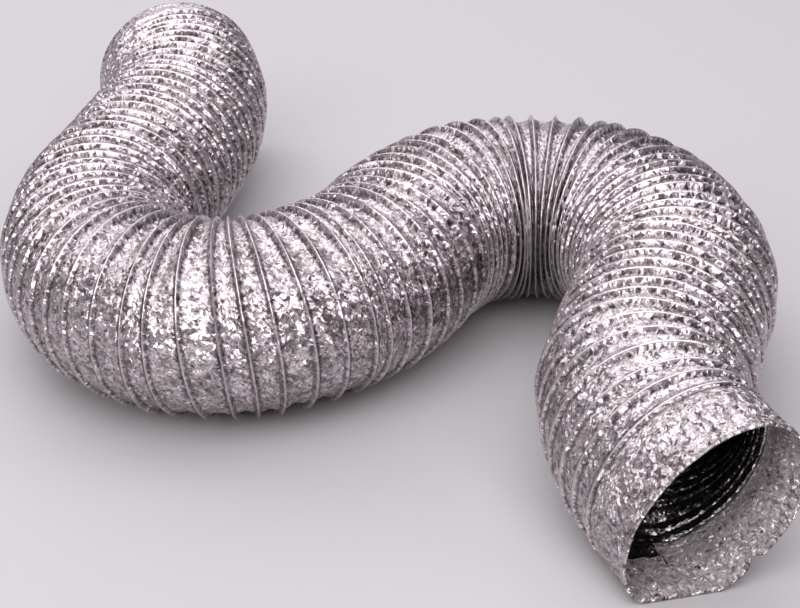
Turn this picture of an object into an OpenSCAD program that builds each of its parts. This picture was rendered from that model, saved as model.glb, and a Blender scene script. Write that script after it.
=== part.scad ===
// Flexible foil duct, lying in an S on the floor.
// Two plies of metal foil are bonded over one long helix of spring wire, which leaves
// a bare foil cuff at each end, a short one at the far end.
// The course is flat: every centre line point has z = 0.
// The origin is the centre of the near opening. The duct leaves it along +Y.

/* [Duct wall] */
// Inside diameter, which slips over a nominal 4 inch collar
bore_d = 101.6; // [75:0.1:125]
// Thickness of the inner ply of foil, as a stand-in for a thinner real one
inner_ply = 0.3; // [0.2:0.05:0.6]
// Thickness of the outer ply of foil, as a stand-in for a thinner real one
outer_ply = 0.4; // [0.2:0.05:0.8]
// Thickness of the spring wire
wire_d = 1.1; // [0.6:0.1:2]
// Clearance between the wire and each ply
ply_gap = 0.15; // [0.12:0.01:0.4]
// Distance from one turn of wire to the next, as the duct lies
pitch = 10; // [9:0.5:16]
// Least distance from each end of a length of duct to the middle of its first or last turn of wire
wire_lead = 1; // [0.8:0.1:2]
// Gap that keeps each half turn of wire a separate solid, at each of its ends
half_turn_gap = 0.3; // [0.1:0.1:1]
// Least gap between two turns of wire, on the inside of a bend
turn_gap = 0.5; // [0.3:0.1:0.9]

/* [Cuffs] */
// Length of the bare foil cuff at the near opening
near_cuff_len = 30; // [15:1:60]
// Length of the bare foil cuff at the far opening
far_cuff_len = 10; // [8:1:60]
// Thickness of a cuff, where both plies lie on each other
cuff_wall = 0.8; // [0.5:0.1:1.5]

/* [Folds] */
// Length of the foil left to fold where two lengths of duct meet
fold_len = 30; // [20:1:40]
// Gap left at each end of a length of duct that meets another length
meeting_gap = 0.05; // [0.02:0.01:0.2]

/* [Least turns of wire in each length, from the near end] */
// Turns in length 1
turns_1 = 6; // [6:1:14]
// Turns in length 2
turns_2 = 9; // [6:1:14]
// Turns in length 3
turns_3 = 9; // [6:1:14]
// Turns in length 4
turns_4 = 6; // [6:1:14]
// Turns in length 5
turns_5 = 6; // [6:1:14]
// Turns in length 6
turns_6 = 6; // [6:1:14]
// Turns in length 7
turns_7 = 9; // [6:1:14]
// Turns in length 8
turns_8 = 6; // [6:1:14]
// Turns in length 9
turns_9 = 6; // [6:1:14]
// Turns in length 10
turns_10 = 9; // [6:1:14]
// Turns in length 11
turns_11 = 10; // [6:1:14]
// Turns in length 12
turns_12 = 10; // [6:1:14]

/* [Bend of each length, in degrees to the left, from the near end] */
// Bend of length 1
bend_1 = -28; // [-30:1:30]
// Bend of length 2
bend_2 = -6; // [-30:1:30]
// Bend of length 3
bend_3 = 42; // [0:1:50]
// Bend of length 4
bend_4 = 50; // [0:1:52]
// Bend of length 5
bend_5 = 50; // [0:1:52]
// Bend of length 6
bend_6 = 35; // [0:1:52]
// Bend of length 7
bend_7 = -41; // [-50:1:0]
// Bend of length 8
bend_8 = -50; // [-52:1:0]
// Bend of length 9
bend_9 = -46; // [-52:1:0]
// Bend of length 10
bend_10 = -36; // [-50:1:0]
// Bend of length 11
bend_11 = 4; // [-30:1:30]
// Bend of length 12
bend_12 = 24; // [-30:1:30]

/* [Hidden] */
asked_turns = [turns_1, turns_2, turns_3, turns_4, turns_5, turns_6,
    turns_7, turns_8, turns_9, turns_10, turns_11, turns_12];
bends = [bend_1, bend_2, bend_3, bend_4, bend_5, bend_6,
    bend_7, bend_8, bend_9, bend_10, bend_11, bend_12];
last = len(bends) - 1;
inner_r = bore_d / 2;
inner_out_r = inner_r + inner_ply;
wire_r = inner_out_r + ply_gap + wire_d / 2;
outer_in_r = wire_r + wire_d / 2 + ply_gap;
outer_r = outer_in_r + outer_ply;
half_fold = fold_len / 2;
// A length that bends far has turns enough to keep them apart on the inside of its bend
turns = [for (i = [0:last]) max(asked_turns[i], ceil(bend_arc(i) / (pitch - wire_d - turn_gap)))];
lengths = [for (count = turns) count * pitch];
start_heading = 90;
foil_colour = [0.74, 0.72, 0.74];
fold_colour = [0.64, 0.62, 0.65];
inner_colour = [0.5, 0.49, 0.5];
wire_colour = [0.35, 0.34, 0.36];
$fn = 96;

// Name of a node of length i, which counts from 01
function node_name(name, i) = str(name, i < 9 ? "_0" : "_", i + 1);
function numbered(name) = [for (i = [0:last]) node_name(name, i)];

// How much shorter the wire's path is on the inside of a bend than on the centre line
function bend_arc(i) = wire_r * abs(bends[i]) * PI / 180;

// Distance from each end of length i to the middle of its first or last turn of wire. Next to
// a cuff it also leaves room for the slant of that turn across the bend.
function lead(i) = i > 0 && i < last ? wire_lead : max(wire_lead, wire_d / 2 + turn_slant(i));
function turn_slant(i) = pow(bend_arc(i) / lengths[i] * (wire_lead + pitch / 4), 2) / (pitch / 2);

// Sum of a list's first items
function sum_to(list, count) = count == 0 ? 0 : list[count - 1] + sum_to(list, count - 1);

// Heading of the centre line where length i starts
function heading(i) = start_heading + sum_to(bends, i);

// Chord of an arc of length 1 that turns by this angle
function unit_chord(angle) = abs(angle) < 0.001 ? 1 : sin(angle / 2) / (angle * PI / 360);

// Step from the start of length i to the point this far along it
function step(i, along) = let (turn = bends[i] * along / lengths[i], way = heading(i) + turn / 2)
    along * unit_chord(turn) * [cos(way), sin(way), 0];

// Place where length i starts
function start(i) = i == 0 ? [0, near_cuff_len, 0] : start(i - 1) + step(i - 1, lengths[i - 1]);

// Point and heading on the centre line, this far along length i
function spot(i, along) = start(i) + step(i, along);
function spot_heading(i, along) = heading(i) + bends[i] * along / lengths[i];

// Where the walls of length i begin and end, a little short of where they meet another length
function first_edge(i) = i == 0 ? 0 : meeting_gap;
function last_edge(i) = lengths[i] - (i == last ? 0 : meeting_gap);

// A piece of round tube from the origin along +X, which turns left by bend over its length
module bent_tube(length, bend, out_r, in_r) {
    if (bend == 0)
        rotate([0, 90, 0])
            difference() {
                cylinder(h = length, r = out_r);
                translate([0, 0, -1])
                    cylinder(h = length + 2, r = in_r);
            }
    else
        mirror([0, bend < 0 ? 1 : 0, 0]) {
            turn_r = length / (abs(bend) * PI / 180);
            translate([0, turn_r, 0])
                rotate([0, 0, -90])
                    rotate_extrude(angle = abs(bend))
                        translate([turn_r, 0])
                            difference() {
                                circle(r = out_r);
                                circle(r = in_r);
                            }
        }
}

// The wall of length i, from one distance along it to another
module wall(i, from, to, out_r, in_r)
    translate(spot(i, from))
        rotate([0, 0, spot_heading(i, from)])
            bent_tube(to - from, bends[i] * (to - from) / lengths[i], out_r, in_r);

// The outer ply of length i, less the foil that folds at its two ends
module outer_foil(i)
    color(foil_colour)
        wall(i, i == 0 ? 0 : half_fold, lengths[i] - (i == last ? 0 : half_fold),
            outer_r, outer_in_r);

// The outer ply that folds, at each end of length i that meets another length
module outer_fold(i)
    color(fold_colour) {
        if (i > 0)
            wall(i, first_edge(i), half_fold, outer_r, outer_in_r);
        if (i < last)
            wall(i, lengths[i] - half_fold, last_edge(i), outer_r, outer_in_r);
    }

// The inner ply of length i
module inner_foil(i)
    color(inner_colour)
        wall(i, first_edge(i), last_edge(i), inner_out_r, inner_r);

// Half a turn of wire, between two points on the centre line of length i.
// An even half goes down the right side and an odd half goes up the left side.
module half_turn(i, half, advance) {
    from = lead(i) + half * advance;
    back = spot(i, from);
    front = spot(i, from + advance);
    lean = asin(norm(front - back) / 2 / wire_r);
    cut = half_turn_gap / (wire_r * PI / 180);
    even = half % 2 == 0;
    translate((back + front) / 2)
        rotate([0, 0, spot_heading(i, from + advance / 2)])
            rotate([0, even ? -lean : lean, 0])
                rotate([0, 90, 0])
                    rotate([0, 0, (even ? 180 : 0) + cut])
                        rotate_extrude(angle = 180 - 2 * cut)
                            translate([wire_r, 0])
                                circle(d = wire_d, $fn = 16);
}

// The wire of length i, as a helix of half turns
module wire_coil(i) {
    halves = 2 * turns[i];
    color(wire_colour)
        for (half = [0:halves - 1])
            half_turn(i, half, (lengths[i] - 2 * lead(i)) / halves);
}

// A bare foil cuff from the origin along +X
module cuff(length)
    bent_tube(length, 0, inner_r + cuff_wall, inner_r);

module near_cuff()
    color(foil_colour)
        rotate([0, 0, start_heading])
            cuff(near_cuff_len);

module far_cuff()
    color(foil_colour)
        translate(spot(last, lengths[last]))
            rotate([0, 0, spot_heading(last, lengths[last])])
                cuff(far_cuff_len);

near_cuff();
far_cuff();
for (i = [0:last]) {
    outer_foil(i);
    outer_fold(i);
    inner_foil(i);
    wire_coil(i);
}
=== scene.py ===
"""Flexible foil duct: the looks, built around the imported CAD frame."""
import math

import bmesh
import bpy
import numpy as np
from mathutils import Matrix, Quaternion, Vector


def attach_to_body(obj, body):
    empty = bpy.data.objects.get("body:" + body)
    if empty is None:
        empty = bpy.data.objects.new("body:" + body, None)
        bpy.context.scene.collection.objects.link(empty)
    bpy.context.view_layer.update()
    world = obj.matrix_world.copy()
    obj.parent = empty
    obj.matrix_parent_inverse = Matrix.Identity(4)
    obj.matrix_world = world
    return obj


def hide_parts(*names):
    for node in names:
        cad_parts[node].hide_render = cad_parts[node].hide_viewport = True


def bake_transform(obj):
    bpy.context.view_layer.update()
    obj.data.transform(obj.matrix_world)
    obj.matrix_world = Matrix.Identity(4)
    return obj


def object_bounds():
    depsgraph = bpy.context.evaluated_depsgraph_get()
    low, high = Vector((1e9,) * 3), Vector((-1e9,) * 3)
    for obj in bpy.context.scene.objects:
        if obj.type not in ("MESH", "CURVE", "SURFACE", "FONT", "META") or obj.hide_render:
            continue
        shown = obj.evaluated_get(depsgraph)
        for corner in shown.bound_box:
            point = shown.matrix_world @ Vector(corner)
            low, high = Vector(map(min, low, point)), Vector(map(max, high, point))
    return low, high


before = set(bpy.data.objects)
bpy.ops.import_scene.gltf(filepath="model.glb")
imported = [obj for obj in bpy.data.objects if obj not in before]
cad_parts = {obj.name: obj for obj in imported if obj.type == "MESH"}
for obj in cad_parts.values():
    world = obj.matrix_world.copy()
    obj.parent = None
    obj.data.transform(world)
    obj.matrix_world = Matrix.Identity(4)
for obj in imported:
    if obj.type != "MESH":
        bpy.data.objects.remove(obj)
cad_low, cad_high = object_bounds()

# ---------------------------------------------------------------- sizes, in metres
TURNS = [6, 9, 9, 6, 6, 6, 9, 6, 6, 9, 10, 10]
BENDS = [-28, -6, 42, 50, 50, 35, -41, -50, -46, -36, 4, 24]
PITCH = 0.010
NEAR_CUFF = 0.030
FAR_CUFF = 0.010
LENGTHS = [count * PITCH for count in TURNS]
TURN_COUNT = sum(TURNS)
BODY_COUNT = len(TURNS)
OUTER_R = (cad_high.z - cad_low.z) / 2
FLOOR_Z = cad_low.z
START_HEADING = math.radians(90)
WIRED_FROM = NEAR_CUFF
WIRED_TO = NEAR_CUFF + sum(LENGTHS)
TOTAL = WIRED_TO + FAR_CUFF
FAR_LEAD = 0.004         # pitch of the foil past the last turn of wire
BAND = 0.0215            # width of the foil band between two turns of wire
PLY_GAP = 0.0010         # from the outer skin to the inner one
BEAD_R = 0.00066         # radius of the ridge where the foil wraps the wire
WIRE_R = 0.00055
FLOOR_GAP = 0.0001       # least height of any foil above the floor

WANDER = 0.0022          # how far a turn of wire strays along the course
TILT = 0.0020            # how far one side of a turn strays ahead of the other
FIRST_LEAN = 0.0075      # how far the tops of the first turns lean to the near end
WOBBLE_SIDE, WOBBLE_UP = 0.0009, 0.0005

# Depth of the fold between two turns, as a share of the foil's slack: everywhere, more at the
# top and the bottom of the duct, and more again where the turns there are spread
FOLD, FOLD_UPRIGHT, FOLD_SPREAD = 0.19, 0.36, 0.55
FOLD_LIMIT = 0.75        # most slack that counts, as a share of the distance between two turns
FOLD_START = 0.002       # distance from the wire over which the folds and the crumple begin
DENT_DEPTH, DENT_WIDTH = 0.0006, 0.0012     # of the wire into the inner skin

PRESS_LENGTH = 0.100     # of the near end, pressed to an oval
PRESS_LEAN = math.radians(43)
PRESS_SHARE = 0.43       # share of its width that the oval loses at the mouth
PRESS_SHIFT = 0.018      # how far the mouth moves down and to the right
LIP_LENGTH, LIP_FLARE = 0.024, 0.0065
RIM_INSET, RIM_WANDER = 0.0010, 0.0004
NOTCH_DEPTH, NOTCH_AT, NOTCH_WIDTH = 0.0040, 0.885, 0.010
ROLL_REACH = 0.0010      # how far the rolled rim stands out past its hem

# Points round each sheet, and rows of points from one turn of wire to the next
AROUND, INNER_AROUND, WIRE_AROUND, WIRE_STEPS = 400, 216, 8, 72
ROWS = [0, .030, .055, .085, .13, .20, .28, .37, .46, .54, .63, .72, .80, .87, .915, .945, .970]
INNER_ROWS = [0, .06, .13, .25, .38, .5, .62, .75, .87, .94]

# ---------------------------------------------------------------- the picture
AZIMUTH, ELEVATION, ROLL = math.radians(-15.16), math.radians(28.04), math.radians(-0.97)
DISTANCE = 1.051
TARGET = Vector((-0.0720, 0.2134, 0.0))
FIELD_OF_VIEW = math.radians(22.62)
STUDIO_MIDDLE = (-0.07, 0.25, 0)
# Each light: its place, its width and height, its power in watts and its colour
LIGHTS = {
    "key": ((-0.50, -1.10, 1.75), (3.0, 2.5), 58, (1.0, 0.965, 0.99)),
    "top": ((0.0, 0.75, 2.3), (2.6, 1.6), 20, (1.0, 0.97, 1.0)),
    "side": ((1.4, 0.1, 1.3), (1.0, 0.9), 5, (0.97, 0.94, 1.0)),
    "left": ((-1.5, -0.6, 1.0), (1.0, 0.9), 7, (1.0, 0.96, 0.98)),
    "back": ((-0.3, 1.9, 1.3), (3.0, 1.5), 28, (1.0, 0.97, 1.0)),
}


def body(i):
    return "length_%02d" % (i + 1)


# ---------------------------------------------------------------- camera
def make_camera():
    """A camera that looks down at the duct from beyond its near end, along its flat course."""
    level = math.cos(ELEVATION)
    back = Vector((math.sin(AZIMUTH) * level, -math.cos(AZIMUTH) * level, math.sin(ELEVATION)))
    data = bpy.data.cameras.new("camera")
    data.angle = FIELD_OF_VIEW
    camera = bpy.data.objects.new("camera", data)
    bpy.context.scene.collection.objects.link(camera)
    camera.location = TARGET + back * DISTANCE
    camera.rotation_mode = "QUATERNION"
    camera.rotation_quaternion = (-back).to_track_quat("-Z", "Y") @ Quaternion((0, 0, 1), ROLL)
    bpy.context.scene.camera = camera


make_camera()

# ---------------------------------------------------------------- the course
def side_of(heading):
    """Unit vector to the left of a heading, in the plane of the floor."""
    return np.stack([-np.sin(heading), np.cos(heading)], -1)


def way_of(heading):
    """Unit vector along a heading, in the plane of the floor."""
    return np.stack([np.cos(heading), np.sin(heading)], -1)


def flat_3d(vectors):
    """The same vectors with a height of 0."""
    return np.concatenate([vectors, np.zeros_like(vectors[..., :1])], -1)


def ease_in_out(x):
    """A smooth step from 0 to 1."""
    return x * x * (3 - 2 * x)


starts, headings = [0.0], [START_HEADING]
points = [np.array([0.0, 0.0])]
arcs = [(NEAR_CUFF, 0.0)] + [(length, math.radians(bend)) for length, bend in zip(LENGTHS, BENDS)]
arcs.append((FAR_CUFF, 0.0))
for length, turn in arcs:
    chord = length if abs(turn) < 1e-9 else length * math.sin(turn / 2) / (turn / 2)
    way = headings[-1] + turn / 2
    points.append(points[-1] + chord * np.array([math.cos(way), math.sin(way)]))
    headings.append(headings[-1] + turn)
    starts.append(starts[-1] + length)
starts, headings, points = np.array(starts), np.array(headings), np.array(points)
arc_turns = np.array([a[1] for a in arcs])
arc_lengths = np.array([a[0] for a in arcs])


def course(s):
    """Centre point and heading of the centre line, s metres from the near rim."""
    k = np.clip(np.searchsorted(starts, s, side="right") - 1, 0, len(arcs) - 1)
    along = s - starts[k]
    turn = arc_turns[k] * along / arc_lengths[k]
    chord = along * np.sinc(turn / 2 / np.pi)
    way = headings[k] + turn / 2
    return points[k] + chord[..., None] * way_of(way), headings[k] + turn


def curvature(s):
    """Curvature of the centre line, evened out over 40 mm."""
    total = np.zeros_like(s)
    offsets = np.linspace(-0.02, 0.02, 9)
    for o in offsets:
        k = np.clip(np.searchsorted(starts, s + o, side="right") - 1, 0, len(arcs) - 1)
        total += arc_turns[k] / arc_lengths[k]
    return total / len(offsets)


# ---------------------------------------------------------------- noise
def smooth_noise(x, seed):
    """Smooth noise of one variable, from -1 to 1, with a knot at each whole number."""
    table = np.random.RandomState(seed).uniform(-1, 1, 4096)
    k = np.floor(x).astype(int)
    f = ease_in_out(x - k)
    return table[k % 4096] * (1 - f) + table[(k + 1) % 4096] * f


def facets(a, b, around, seed, smooth=False):
    """Noise over the wall, from -1 to 1, in flat three-cornered facets, or in soft swells if smooth
    is set. a is in turns and wraps; b is in cells."""
    table = np.random.RandomState(seed).uniform(-1, 1, (1024, around))
    x = a * around
    i = np.floor(x).astype(int)
    j = np.floor(b).astype(int)
    u, v = x - i, b - j
    near = table[j % 1024, i % around]
    right = table[j % 1024, (i + 1) % around]
    above = table[(j + 1) % 1024, i % around]
    beyond = table[(j + 1) % 1024, (i + 1) % around]
    if smooth:
        u, v = ease_in_out(u), ease_in_out(v)
        return (near * (1 - u) + right * u) * (1 - v) + (above * (1 - u) + beyond * u) * v
    low = near + (right - near) * u + (above - near) * v
    high = beyond + (above - beyond) * (1 - u) + (right - beyond) * (1 - v)
    return np.where(u + v < 1, low, high)


def crinkle(a, turn):
    """Height of the crumpled foil, in metres. a is the place round the duct and turn the place
    along it, both in turns. Four sets of facets, each finer than the one before, are added up."""
    wa = a + 0.0060 * facets(a, turn * 2.9, 60, 11, True)
    wb = turn + 0.26 * facets(a, turn * 2.2, 48, 12, True)
    broad = facets(wa + 0.010 * wb, wb * 2.1, 60, 21)
    shards = facets(wa - 0.008 * wb, wb * 3.4, 104, 22)
    slanted = facets(wa + 0.007 * wb, wb * 4.3, 150, 23)
    fine = facets(wa - 0.004 * wb, wb * 8.0, 210, 24)
    return 0.00020 * broad + 0.00018 * shards + 0.00015 * slanted + 0.00014 * fine


# ---------------------------------------------------------------- the wire
def wire_s(v):
    """Distance along the course of the wire, v turns from its near end."""
    even = WIRED_FROM + PITCH * v - (PITCH - FAR_LEAD) * np.maximum(v - TURN_COUNT, 0)
    shift = WANDER * smooth_noise(v / 1.3, 1)
    tilt_a = TILT * smooth_noise(v / 2.3, 2) * np.cos(2 * np.pi * v)
    tilt_b = TILT * smooth_noise(v / 2.7, 3) * np.sin(2 * np.pi * v)
    lean = -FIRST_LEAN * np.sin(np.pi * v) ** 2 * np.exp(-np.abs(v) / 3)
    return even + (shift + tilt_a + tilt_b + lean) * wire_ease(v)


def wire_ease(v):
    """0 at the wire's two ends and beyond them, and 1 from one and a half turns in."""
    return np.clip(np.minimum(v, TURN_COUNT - v) / 1.5, 0, 1)


def wire_present(v):
    """1 along the wire and 0 beyond its ends."""
    return np.clip(np.minimum(1 + v / 0.08, 1 + (TURN_COUNT - v) / 0.08), 0, 1)


def wobble(v):
    """How far the wire's ring is out of place, to its left and upwards."""
    side = WOBBLE_SIDE * smooth_noise(v / 1.1, 4) * wire_ease(v)
    up = WOBBLE_UP * smooth_noise(v / 1.3, 5) * wire_ease(v)
    return side, up


def local_point(s, side, up, lift=0.0):
    """A point beside the course, at least lift above the floor, with the near end pressed to an oval."""
    xy, heading = course(s)
    side, up, along = press_near_end(side, up, s)
    flat = xy + side[..., None] * side_of(heading) + along[..., None] * way_of(heading)
    return np.concatenate([flat, np.maximum(up, FLOOR_Z + FLOOR_GAP + lift)[..., None]], -1)


def rest_height(theta, turn, inset):
    """How far above the floor the foil's lowest places lie. The inner sheet is uneven there too."""
    if not inset:
        return 0.0
    broad = facets(theta, turn * 2.1, 60, 61)
    fine = facets(theta, turn * 4, 130, 62)
    return inset + 0.0009 * (1 + broad) + 0.0004 * (1 + fine)


def press_near_end(side, up, s):
    """The near end is pressed in on its upper left, so that its mouth is an oval that leans."""
    press = ease_in_out(np.clip(1 - s / PRESS_LENGTH, 0, 1))
    out = side * math.cos(PRESS_LEAN) + up * math.sin(PRESS_LEAN)
    across = -side * math.sin(PRESS_LEAN) + up * math.cos(PRESS_LEAN)
    out_share = out / OUTER_R
    out = out * (1 - PRESS_SHARE * press) - PRESS_SHIFT * press
    side = out * math.cos(PRESS_LEAN) - across * math.sin(PRESS_LEAN)
    up = out * math.sin(PRESS_LEAN) + across * math.cos(PRESS_LEAN)
    lip = np.clip(1 - s / LIP_LENGTH, 0, 1) ** 1.5 * np.clip(0.25 - out_share, 0, 1)
    side = side - LIP_FLARE * lip * math.cos(PRESS_LEAN)
    up = up - LIP_FLARE * lip * math.sin(PRESS_LEAN)
    along = 0.004 * press * out / OUTER_R
    return side, up, along


def wire_point(v, radius):
    """A point at that radius on the wire's own ring, v turns from its near end."""
    side, up = wobble(v)
    angle = 2 * np.pi * v
    return local_point(wire_s(v), radius * np.sin(angle) + side, up - radius * np.cos(angle))


# ---------------------------------------------------------------- the foil skins
def skin_points(theta, u, inset):
    """Points of a skin, their distances along the course, and the wire's mark on each, which places the
    painted highlight over the wire and the painted shade beside it. theta is in turns from the bottom, u
    counts turns of wire from the near end."""
    k = np.floor(u + 1e-9)
    f = np.clip(u - k, 0, 1)
    v0, v1 = k + theta, k + 1 + theta
    s0, s1 = wire_s(v0), wire_s(v1)
    s = s0 * (1 - f) + s1 * f
    angle = 2 * np.pi * theta
    side = OUTER_R * np.sin(angle)
    spacing = (s1 - s0) * np.clip(1 - curvature(s) * side, 0.12, 2)
    turn = u + theta
    half_band = 0.5 * np.sqrt(np.maximum(BAND ** 2 - spacing ** 2, 0.002 ** 2))
    slack = np.minimum(half_band, FOLD_LIMIT * spacing)
    stretched = np.clip(spacing / PITCH - 1, 0, 0.6)
    spread = FOLD_UPRIGHT + FOLD_SPREAD * stretched
    share = FOLD + spread * np.abs(np.cos(angle)) ** 4
    depth = slack * share * (1 + 0.20 * facets(theta, turn / 1.6, 9, 31, True))
    depth = depth * np.clip(turn, 0, 1) * np.clip(TURN_COUNT - turn, 0, 1)
    low = 0.5 + 0.15 * facets(theta, turn / 1.3, 14, 32, True)
    g = np.where(f < low, f / low * 0.5, 0.5 + (f - low) / (1 - low) * 0.5)
    vee = 1 - np.abs(2 * g - 1)
    round_valley = (4 * g * (1 - g)) ** 0.75
    valley = round_valley + (vee ** 0.85 - round_valley) * 0.5 * np.abs(np.cos(angle)) ** 3
    gap0, gap1 = f * spacing, (1 - f) * spacing
    on0, on1 = wire_present(v0), wire_present(v1)
    crest = ridge_at(gap0) * on0 + ridge_at(gap1) * on1
    off0 = 1 - on0 * (1 - np.clip(gap0 / FOLD_START, 0, 1))
    off1 = 1 - on1 * (1 - np.clip(gap1 / FOLD_START, 0, 1))
    ease = off0 * off1
    rough = crumple(theta, turn, s)
    radius = OUTER_R - BEAD_R + crest - depth * valley * ease + rough * ease - inset
    if inset:
        under0 = on0 * np.exp(-(gap0 / DENT_WIDTH) ** 2)
        under1 = on1 * np.exp(-(gap1 / DENT_WIDTH) ** 2)
        radius = radius - DENT_DEPTH * np.maximum(under0, under1)
    side0, up0 = wobble(v0)
    side1, up1 = wobble(v1)
    aside = side0 * (1 - f) + side1 * f
    above = up0 * (1 - f) + up1 * f
    p = local_point(s, radius * np.sin(angle) + aside, above - radius * np.cos(angle),
                    rest_height(theta, turn, inset))
    return p, s, on0 * wire_highlight_and_shade(gap0) + on1 * wire_highlight_and_shade(gap1)


def wire_highlight_and_shade(gap):
    """1 on the ridge over the wire, which gets a painted highlight, below 0 in the groove beside it,
    which gets painted shade, and 0 away from it.
    """
    return np.exp(-(gap / 0.0006) ** 2) - 0.9 * np.exp(-((gap - 0.0017) / 0.0007) ** 2)


def ridge_at(gap):
    """Height of the foil over the wire, with the small groove at its foot."""
    bead = np.sqrt(np.maximum(BEAD_R ** 2 - gap ** 2, 0))
    return bead - 0.0008 * np.exp(-((gap - 0.0016) / 0.0006) ** 2)


def crumple(theta, turn, s):
    """Height of the crumpled foil, which is less where the turns are close together."""
    side = OUTER_R * np.sin(2 * np.pi * theta)
    room = np.clip(1 - curvature(s) * side, 0.25, 1.25)
    return crinkle(theta, turn) * room


def grid_mesh(name, p, uv, rows_per_turn, flip):
    """A mesh from a grid of points, rows by columns. Its last column joins its first, rows_per_turn
    rows further on. Its faces look to the other side if flip is set."""
    rows, columns = p.shape[:2]
    index = np.arange(rows * (columns - 1)).reshape(rows, columns - 1)
    last = np.full(rows, -1)
    last[:rows - rows_per_turn] = index[rows_per_turn:, 0]
    loose = np.flatnonzero(last < 0)
    last[loose] = rows * (columns - 1) + np.arange(len(loose))
    index = np.concatenate([index, last[:, None]], 1)
    co = np.concatenate([p[:, :-1].reshape(-1, 3), p[loose, -1]])
    a, b = index[:-1, :-1], index[:-1, 1:]
    c, d = index[1:, 1:], index[1:, :-1]
    quads = np.stack([a, b, c, d] if flip else [a, d, c, b], -1).reshape(-1, 4)
    ua = np.stack([uv[:-1, :-1], uv[:-1, 1:], uv[1:, 1:], uv[1:, :-1]] if flip else
                  [uv[:-1, :-1], uv[1:, :-1], uv[1:, 1:], uv[:-1, 1:]], 2).reshape(-1, 2)
    mesh = bpy.data.meshes.new(name)
    mesh.vertices.add(len(co))
    mesh.vertices.foreach_set("co", co.astype(np.float32).ravel())
    mesh.loops.add(quads.size)
    mesh.loops.foreach_set("vertex_index", quads.astype(np.int32).ravel())
    mesh.polygons.add(len(quads))
    mesh.polygons.foreach_set("loop_start", np.arange(0, quads.size, 4, dtype=np.int32))
    mesh.polygons.foreach_set("loop_total", np.full(len(quads), 4, dtype=np.int32))
    mesh.polygons.foreach_set("use_smooth", np.ones(len(quads), dtype=bool))
    layer = mesh.uv_layers.new(name="wall")
    layer.data.foreach_set("uv", ua.astype(np.float32).ravel())
    mesh.update(calc_edges=True)
    mesh.validate()
    o = bpy.data.objects.new(name, mesh)
    bpy.context.scene.collection.objects.link(o)
    return o


def span_turns(i):
    """Whole turns of wire from the near end to the middle of length i."""
    return sum(TURNS[:i]) + TURNS[i] // 2


def span_end(i):
    """Turns of wire from the near end to the end of span i."""
    return TURN_COUNT if i >= BODY_COUNT - 1 else span_turns(i + 1)


def skin_rows(first, final, rows):
    """Places of the rows of points, in turns of wire from the near end."""
    us = [k + f for k in range(first, final) for f in rows]
    return np.array(us + [float(final)])


def attach(o, i):
    """Span i, from body i to the next, is left unparented with its transform applied; the first and last
    spans ride on the end bodies.
    """
    if i < 0:
        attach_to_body(o, body(0))
    elif i >= BODY_COUNT - 1:
        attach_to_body(o, body(BODY_COUNT - 1))
    else:
        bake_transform(o)


def by_vertex(grid, rows_per_turn):
    """The values of a grid in the order of the vertices that grid_mesh makes from it."""
    rows = grid.shape[0]
    loose = np.arange(max(rows - rows_per_turn, 0), rows)
    return np.concatenate([grid[:, :-1].ravel(), grid[loose, -1]])


def make_skin(kind, i, inset, around, rows, material, end_material, flip):
    """A skin over span i. The part of it before the first turn of wire has the end material."""
    first = -1 if i < 0 else span_turns(i)
    final = span_end(i)
    theta, u = np.meshgrid(np.linspace(0, 1, around + 1), skin_rows(first, final, rows))
    p, s, mark = skin_points(theta, u, inset)
    uv = np.stack([theta * 2 * np.pi * OUTER_R, (u + theta) * BAND], -1)
    o = grid_mesh("%s_%02d" % (kind, i + 2), p, uv, len(rows), flip)
    # The wire's mark, for the material: calm shards and a painted highlight over the wire, painted shade
    # beside it
    ridge = o.data.attributes.new("ridge", "FLOAT", "POINT")
    ridge.data.foreach_set("value", by_vertex(mark, len(rows)).astype(np.float32))
    o.data.materials.append(material)
    o.data.materials.append(end_material)
    if i < 0:
        beyond = np.arange(len(o.data.polygons)) // around < len(rows)
        o.data.polygons.foreach_set("material_index", beyond.astype(np.int32))
    attach(o, i)
    return o


# ---------------------------------------------------------------- materials
# Each set of foil shards: its slant in degrees, its shards per millimetre across and along,
# and its share of the effect
SHARDS = [(38, 0.80, 0.34, 1.0), (-34, 0.72, 0.36, 0.9), (8, 0.38, 0.24, 0.7)]
BRIGHTEST = (0.94, 0.90, 0.92)


def node(tree, kind, at, **inputs):
    n = tree.nodes.new(kind)
    n.location = at
    for k, v in inputs.items():
        n.inputs[k].default_value = v
    return n


def vector_math(tree, operation, at, source):
    n = node(tree, "ShaderNodeVectorMath", at)
    n.operation = operation
    tree.links.new(source, n.inputs[0])
    return n


def scaled(tree, at, source, scale):
    """A vector or colour times the value of another node."""
    n = vector_math(tree, "SCALE", at, source)
    tree.links.new(scale, n.inputs["Scale"])
    return n.outputs[0]


def noise(tree, at, source, **inputs):
    n = node(tree, "ShaderNodeTexNoise", at, **inputs)
    tree.links.new(source, n.inputs["Vector"])
    return n


def voronoi(tree, at, source, scale):
    n = node(tree, "ShaderNodeTexVoronoi", at, Scale=scale)
    n.voronoi_dimensions = "2D"
    tree.links.new(source, n.inputs["Vector"])
    return n


def map_range(tree, at, source, to_low=0.0, to_high=1.0, from_low=0.0, from_high=1.0):
    """A value moved from one range to another, and kept within it."""
    n = node(tree, "ShaderNodeMapRange", at)
    n.inputs["From Min"].default_value = from_low
    n.inputs["From Max"].default_value = from_high
    n.inputs["To Min"].default_value = to_low
    n.inputs["To Max"].default_value = to_high
    tree.links.new(source, n.inputs[0])
    return n.outputs[0]


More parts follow.
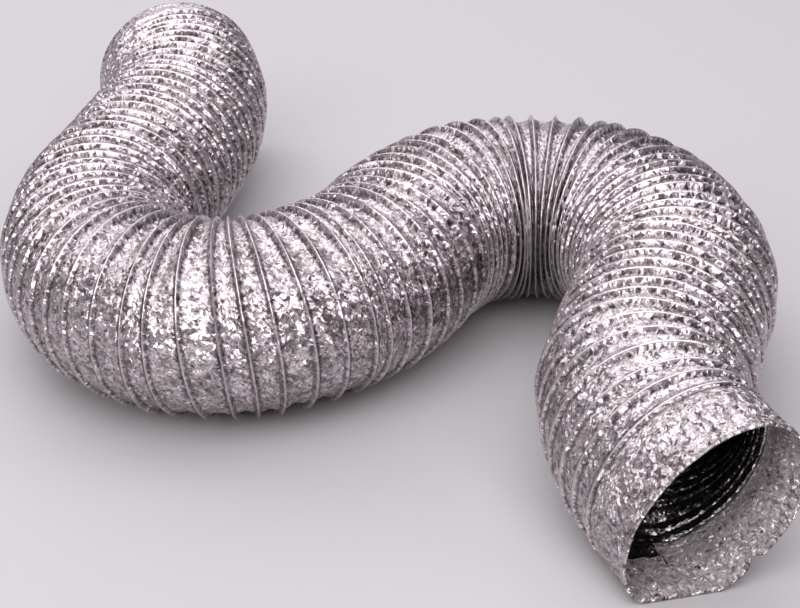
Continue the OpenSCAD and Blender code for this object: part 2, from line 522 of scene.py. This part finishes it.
def add_shards(t, warped, calm, colour, tilt, flash_painted_contrast):
    """The colour and the normal with every set of shards added to them. Each shard's colour is also made
    lighter or darker, a painted glint or painted shade.
    """
    normal = node(t, "ShaderNodeNewGeometry", (-100, 300)).outputs["Normal"]
    for i, (angle, across, along, share) in enumerate(SHARDS):
        turned = node(t, "ShaderNodeVectorRotate", (-900, -200 * i), Angle=math.radians(angle))
        turned.rotation_type = "Z_AXIS"
        t.links.new(warped, turned.inputs["Vector"])
        at = vector_math(t, "MULTIPLY", (-700, -200 * i), turned.outputs[0])
        at.inputs[1].default_value = (across, along, 1.0)
        cells = voronoi(t, (-500, -200 * i), at.outputs[0], 1.0)
        centred = vector_math(t, "SUBTRACT", (-300, -200 * i), cells.outputs["Color"])
        centred.inputs[1].default_value = (0.5, 0.5, 0.5)
        sized = vector_math(t, "SCALE", (-100, -200 * i), centred.outputs[0])
        sized.inputs["Scale"].default_value = 2 * tilt * share
        tilted = vector_math(t, "ADD", (300, -200 * i), normal)
        t.links.new(scaled(t, (100, -200 * i), sized.outputs[0], calm), tilted.inputs[1])
        normal = tilted.outputs[0]
        # Painted glint and shade: each shard's colour is made lighter or darker, as if it caught or
        # missed the light
        split = node(t, "ShaderNodeSeparateColor", (-300, 300 + 200 * i))
        t.links.new(cells.outputs["Color"], split.inputs[0])
        shade = map_range(t, (-100, 300 + 200 * i), split.outputs["Green"],
                          1 - flash_painted_contrast * share, 1 + flash_painted_contrast * share)
        colour = scaled(t, (800, 500 + 200 * i), colour, shade)
    return colour, normal


def foil_material(name, dark, light, rough, tilt, flash_painted_contrast, metallic=1.0):
    """Crumpled metal foil. Sets of slanted shards each have a tilt of their own, so they flash one
    by one, and each shard has a painted glint or painted shade in its colour. Painted shade darkens the
    colour along creases and beside the wire; over the wire the foil is calm and has a painted highlight."""
    m = bpy.data.materials.new(name)
    m.use_nodes = True
    t = m.node_tree
    t.nodes.clear()
    out = node(t, "ShaderNodeOutputMaterial", (1400, 0))
    p = node(t, "ShaderNodeBsdfPrincipled", (1100, 0))
    p.inputs["Metallic"].default_value = metallic
    t.links.new(p.outputs[0], out.inputs[0])

    wall = node(t, "ShaderNodeUVMap", (-1700, 0))
    wall.uv_map = "wall"
    in_mm = vector_math(t, "SCALE", (-1500, 0), wall.outputs["UV"])
    in_mm.inputs["Scale"].default_value = 1000.0
    millimetres = in_mm.outputs[0]
    warp = noise(t, (-1300, -250), millimetres, Scale=0.22, Detail=1.0)
    warped = vector_math(t, "MULTIPLY_ADD", (-1100, 0), warp.outputs["Color"])
    warped.inputs[1].default_value = (4.0, 4.0, 0.0)
    t.links.new(millimetres, warped.inputs[2])
    ridge = node(t, "ShaderNodeAttribute", (-300, -800))
    ridge.attribute_name = "ridge"
    calm = map_range(t, (-100, -800), ridge.outputs["Fac"], 1.0, 0.35)

    patch = noise(t, (300, 700), millimetres, Scale=0.07, Detail=5.0, Roughness=0.6)
    ramp = node(t, "ShaderNodeValToRGB", (600, 700))
    for end, shade, place in zip(ramp.color_ramp.elements, (dark, light), (0.36, 0.62)):
        end.color = (*shade, 1)
        end.position = place
    t.links.new(patch.outputs[0], ramp.inputs[0])
    colour, normal = add_shards(t, warped.outputs[0], calm, ramp.outputs[0], tilt, flash_painted_contrast)

    # Painted shade: the colour is darkened along the lines between the crease cells
    creases = voronoi(t, (-500, 900), warped.outputs[0], 0.24)
    creases.feature = "DISTANCE_TO_EDGE"
    crease_painted_shade = map_range(t, (-300, 1100), creases.outputs["Distance"], 0.35, from_high=0.07)
    colour = scaled(t, (900, 900), colour, crease_painted_shade)
    # Painted shade: the colour is darkened in the groove beside the wire, where the mark is below 0
    groove = map_range(t, (-100, 1300), ridge.outputs["Fac"], 0.30, from_low=-1.0, from_high=0.0)
    colour = scaled(t, (1000, 1000), colour, groove)
    capped = vector_math(t, "MINIMUM", (1100, 1000), colour)
    capped.inputs[1].default_value = BRIGHTEST
    # Painted highlight: the colour turns light on the ridge over the wire
    crest = node(t, "ShaderNodeMix", (900, 500))
    crest.data_type = "RGBA"
    crest.inputs["B"].default_value = (*[0.95 * c for c in light], 1)
    t.links.new(ridge.outputs["Fac"], crest.inputs["Factor"])
    t.links.new(capped.outputs[0], crest.inputs["A"])
    t.links.new(crest.outputs["Result"], p.inputs["Base Color"])

    unit = vector_math(t, "NORMALIZE", (500, 0), normal)
    grain = noise(t, (300, -500), millimetres, Scale=1.1, Detail=2.0, Roughness=0.5)
    bump = node(t, "ShaderNodeBump", (750, -200), Strength=0.5, Distance=0.00008)
    t.links.new(grain.outputs[0], bump.inputs["Height"])
    t.links.new(unit.outputs[0], bump.inputs["Normal"])
    t.links.new(bump.outputs[0], p.inputs["Normal"])
    roughness = map_range(t, (600, 200), grain.outputs[0], rough * 0.7, rough * 1.35, 0.3, 0.7)
    t.links.new(roughness, p.inputs["Roughness"])
    return m


def plain_material(name, colour, metallic, rough):
    """A material of one colour, with a fine grain in its gloss."""
    m = bpy.data.materials.new(name)
    m.use_nodes = True
    t = m.node_tree
    p = t.nodes["Principled BSDF"]
    p.inputs["Base Color"].default_value = (*colour, 1)
    p.inputs["Metallic"].default_value = metallic
    grain = node(t, "ShaderNodeTexNoise", (-500, 0), Scale=900.0, Detail=3.0)
    spread = map_range(t, (-250, 0), grain.outputs[0], rough * 0.8, rough * 1.2)
    t.links.new(spread, p.inputs["Roughness"])
    return m


# Each foil: its dark and its light colour, roughness, tilt of its shards and the contrast of the painted
# glint and shade between them
foil = foil_material("outer_foil", (0.52, 0.465, 0.475), (0.68, 0.61, 0.645), 0.31, 0.25, 0.50)
cuff_foil = foil_material("cuff_foil", (0.49, 0.44, 0.45), (0.66, 0.595, 0.625), 0.31, 0.36, 0.50)
# The cuffs' lining is a lighter copy of the inner foil: painted light inside the mouth
painted_light_cuff_lining = foil_material("painted_light_cuff_inner_foil", (0.68, 0.62, 0.63), (0.88, 0.80, 0.83),
                            0.28, 0.50, 0.50, metallic=0.5)
lining = foil_material("inner_foil", (0.42, 0.40, 0.40), (0.62, 0.60, 0.60), 0.22, 0.28, 0.42)
steel = plain_material("spring_wire", (0.55, 0.54, 0.55), 1.0, 0.35)

# ---------------------------------------------------------------- the pieces
for i in range(-1, BODY_COUNT):
    outer = make_skin("outer_skin", i, 0.0, AROUND, ROWS, foil, cuff_foil, False)
    inner = make_skin("inner_skin", i, PLY_GAP, INNER_AROUND, INNER_ROWS, lining, painted_light_cuff_lining,
                      True)
    if i + 1 < BODY_COUNT:
        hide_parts("outer_foil_%02d" % (i + 2))
        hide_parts("inner_foil_%02d" % (i + 2))
    if i >= 0:
        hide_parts("outer_fold_%02d" % (i + 1))


def make_wire(i):
    """The stretch of the wire under the skins of span i."""
    first = 0 if i < 0 else span_turns(i)
    final = span_end(i)
    v = np.linspace(first, final, (final - first) * WIRE_STEPS + 1)
    centre = wire_point(v, OUTER_R - BEAD_R)
    s = wire_s(v)
    heading = course(s)[1]
    angle = 2 * np.pi * v
    way, left = flat_3d(way_of(heading)), flat_3d(side_of(heading))
    radial = np.sin(angle)[:, None] * left - np.cos(angle)[:, None] * np.array([0, 0, 1.0])
    ring = np.linspace(0, 2 * np.pi, WIRE_AROUND + 1)
    p = centre[:, None] + WIRE_R * (np.cos(ring)[None, :, None] * radial[:, None]
                                    + np.sin(ring)[None, :, None] * way[:, None])
    uv = np.stack(np.meshgrid(ring * WIRE_R, v * 0.33), -1)
    o = grid_mesh("spring_wire_%02d" % (i + 2), p, uv, 0, False)
    o.data.materials.append(steel)
    attach(o, i)
    if i + 1 < BODY_COUNT:
        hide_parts("wire_coil_%02d" % (i + 2))


for i in range(-1, BODY_COUNT):
    make_wire(i)


def rim_s(theta):
    """Place of the foil's cut edge, in from the end of the duct. It wanders, and has one notch."""
    wander = RIM_INSET + RIM_WANDER * facets(theta, 0 * theta + 0.5, 9, 51, True)
    notch = NOTCH_DEPTH * np.exp(-((theta - NOTCH_AT) / NOTCH_WIDTH) ** 2)
    return wander + notch


def make_cuff(name, near):
    """A bare foil cuff: its outside, its rolled rim and its inside, as one sheet. Its last rows
    follow the first or last turn of wire, where the skins begin."""
    theta = np.linspace(0, 1, AROUND + 1)[None]
    plain_rows = np.linspace(0, 1, 22)[:-1, None]
    helical_rows = np.array(ROWS + [1.0])[:, None]
    if near:
        rim, inner_s, lead = rim_s(theta), WIRED_FROM - PITCH, PITCH
        helical_s = inner_s + lead * theta * helical_rows
    else:
        rim, inner_s, lead = TOTAL - rim_s(theta), WIRED_TO + FAR_LEAD, FAR_LEAD
        helical_s = inner_s - lead * (1 - theta) * helical_rows
    plain_s = rim + (inner_s - rim) * plain_rows
    s = np.concatenate([plain_s, helical_s])
    tt = np.broadcast_to(theta, s.shape)
    angle = 2 * np.pi * tt
    turn = (s - WIRED_FROM) / PITCH if near else TURN_COUNT + (s - WIRED_TO) / FAR_LEAD
    loose = np.clip(np.abs(s - inner_s) / 0.012, 0, 1) * np.where((s < inner_s) == near, 1, 0)
    wave = 0.0009 * facets(tt, turn / 1.7, 7, 41, True)
    wave = wave + 0.0004 * facets(tt, turn / 0.9, 17, 42, True)
    from_rim = np.abs(s - rim)
    hem = np.exp(-(from_rim / 0.0022) ** 2)
    calm = 1 - 0.75 * np.exp(-(from_rim / 0.004) ** 2)
    rough = crumple(tt, turn, s) * (1 + 1.6 * loose) * calm
    body_r = OUTER_R - BEAD_R + rough + wave * loose
    sheets = []
    for inset, swell in ((0.0, 0.0004), (PLY_GAP, -0.0006)):
        radius = body_r - inset + swell * hem
        lift = rest_height(tt, turn, inset)
        sheets.append(local_point(s, radius * np.sin(angle), -radius * np.cos(angle), lift))
    ends = [sheet[:1] for sheet in sheets]
    outward = (ends[0] - ends[1]) / 2
    tip = flat_3d(way_of(course(s[:1])[1])) * (-1 if near else 1)
    roll = np.linspace(0, np.pi, 7)[1:-1, None, None]
    rolled = (ends[0] + ends[1]) / 2 + outward * np.cos(roll) + tip * ROLL_REACH * np.sin(roll)
    p = np.concatenate([sheets[0][::-1], rolled, sheets[1]])
    s = np.concatenate([s[::-1], np.repeat(s[:1], len(rolled), axis=0), s])
    tt = np.broadcast_to(theta, s.shape)
    uv = np.stack([tt * 2 * np.pi * OUTER_R, s * 1.1], -1)
    o = grid_mesh(name, p, uv, 0, not near)
    o.data.materials.append(cuff_foil)
    o.data.materials.append(painted_light_cuff_lining)
    inside = np.arange(len(o.data.polygons)) // AROUND >= len(sheets[0]) + len(rolled) - 1
    o.data.polygons.foreach_set("material_index", inside.astype(np.int32))
    weld(o)
    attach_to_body(o, body(0 if near else BODY_COUNT - 1))
    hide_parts(name.replace("_foil", ""))


def weld(o):
    """Join the vertices that lie on each other, which drops the faces that have no area."""
    work = bmesh.new()
    work.from_mesh(o.data)
    bmesh.ops.remove_doubles(work, verts=work.verts, dist=2e-6)
    work.to_mesh(o.data)
    work.free()


make_cuff("near_cuff_foil", True)
make_cuff("far_cuff_foil", False)


# ---------------------------------------------------------------- studio
def make_floor():
    bpy.ops.mesh.primitive_plane_add(size=8, location=(0, 0.3, FLOOR_Z - 0.0002))
    floor = bpy.context.object
    floor.name = "studio_floor"
    m = plain_material("studio_floor", (0.46, 0.455, 0.46), 0.0, 0.7)
    floor.data.materials.append(m)


def area_light(name, at, size, power, colour):
    """A light that shines on the middle of the duct."""
    data = bpy.data.lights.new(name, "AREA")
    data.shape = "RECTANGLE"
    data.size, data.size_y = size
    data.energy = power
    data.color = colour
    o = bpy.data.objects.new(name, data)
    bpy.context.scene.collection.objects.link(o)
    o.location = at
    o.rotation_mode = "QUATERNION"
    o.rotation_quaternion = (Vector(STUDIO_MIDDLE) - Vector(at)).to_track_quat("-Z", "Y")


def make_studio():
    make_floor()
    for name, light in LIGHTS.items():
        area_light(name, *light)
    world = bpy.data.worlds.new("studio")
    world.use_nodes = True
    background = world.node_tree.nodes["Background"]
    background.inputs[0].default_value = (0.56, 0.52, 0.56, 1)
    background.inputs[1].default_value = 0.36
    bpy.context.scene.world = world
    bpy.context.scene.view_settings.view_transform = "Standard"


make_studio()
